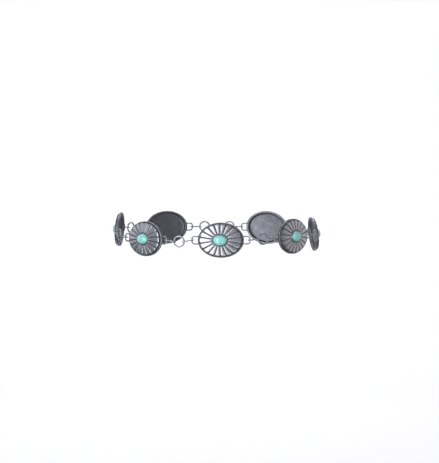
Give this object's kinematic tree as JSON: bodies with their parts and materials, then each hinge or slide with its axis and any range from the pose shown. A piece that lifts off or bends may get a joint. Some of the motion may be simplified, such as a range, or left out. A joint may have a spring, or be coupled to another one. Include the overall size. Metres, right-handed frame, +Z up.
{
  "type": "concho belt",
  "caption": "Chain belt of domed, fluted oval silver conchos set with turquoise stones, joined by rings and links into a loop at the waist with a hook clasp.",
  "frame": {"origin": "middle of the waist opening, at the height of the middle of the front concho", "axes": "+Z up, -Y towards the front of the belt, +X towards the right of someone who looks at the front"},
  "size_m": [0.2404, 0.2143, 0.0444],
  "materials": {
    "antique_silver": "polished with darkened recesses",
    "pale_silver": "polished",
    "turquoise": "polished cabochon"
  },
  "bodies": {
    "root": {"concho_1": "antique_silver", "stone_1": "turquoise", "link_1a": "pale_silver", "ring_1": "pale_silver", "link_1b": "pale_silver", "concho_2": "antique_silver", "stone_2": "turquoise", "link_2a": "pale_silver", "ring_2": "pale_silver", "link_2b": "pale_silver", "concho_3": "antique_silver", "stone_3": "turquoise", "link_3a": "pale_silver", "ring_3": "pale_silver", "link_3b": "pale_silver", "concho_4": "antique_silver", "stone_4": "turquoise", "link_4a": "pale_silver", "ring_4a": "pale_silver", "clasp": "pale_silver", "ring_4b": "pale_silver", "link_4b": "pale_silver", "concho_5": "antique_silver", "stone_5": "turquoise", "link_5a": "pale_silver", "ring_5": "pale_silver", "link_5b": "pale_silver", "concho_6": "antique_silver", "stone_6": "turquoise", "link_6a": "pale_silver", "ring_6": "pale_silver", "link_6b": "pale_silver", "concho_7": "antique_silver", "stone_7": "turquoise", "link_7a": "pale_silver", "ring_7": "pale_silver", "link_7b": "pale_silver"}
  },
  "joints": []
}
